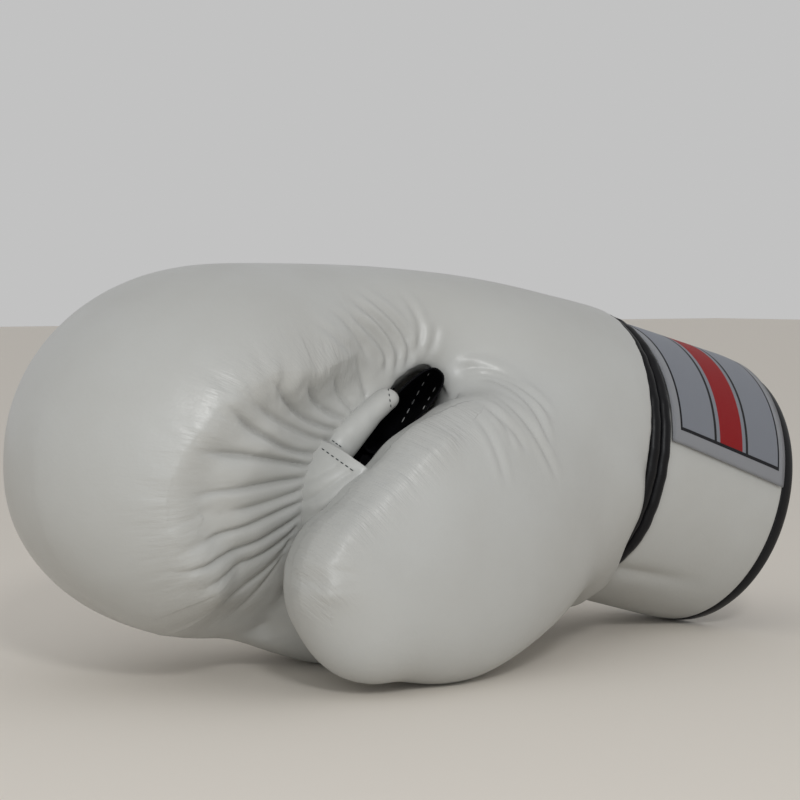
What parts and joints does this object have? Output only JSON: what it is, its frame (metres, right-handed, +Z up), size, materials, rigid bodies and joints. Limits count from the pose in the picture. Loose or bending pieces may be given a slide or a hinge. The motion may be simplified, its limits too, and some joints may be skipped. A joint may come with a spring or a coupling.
{
  "type": "boxing glove",
  "caption": "Right-hand padded boxing glove lying palm down, with an attached thumb lobe, a gathered palm slot and a wrist cuff with a wrapped strap.",
  "frame": {"origin": "centre of the bounding box on the floor plane the glove lies on", "axes": "+X from the knuckles to the open cuff, -Y towards the thumb, +Z up from the floor"},
  "size_m": [0.3216, 0.148, 0.1436],
  "materials": {
    "white_leather": "satin smooth leather",
    "black_leather": "glossy coated edging",
    "black_cloth": "matt woven cloth",
    "grey_label": "satin woven label with a printed band"
  },
  "bodies": {
    "root": {"mitt_shell": "white_leather", "thumb": "white_leather", "finger_facing": "white_leather", "thumb_strap": "white_leather", "cuff": "white_leather", "closure_strap": "white_leather", "palm_panel": "black_cloth", "wrist_piping": "black_leather", "strap_edging": "black_leather", "rim_binding": "black_leather", "strap_label": "grey_label"}
  },
  "joints": []
}
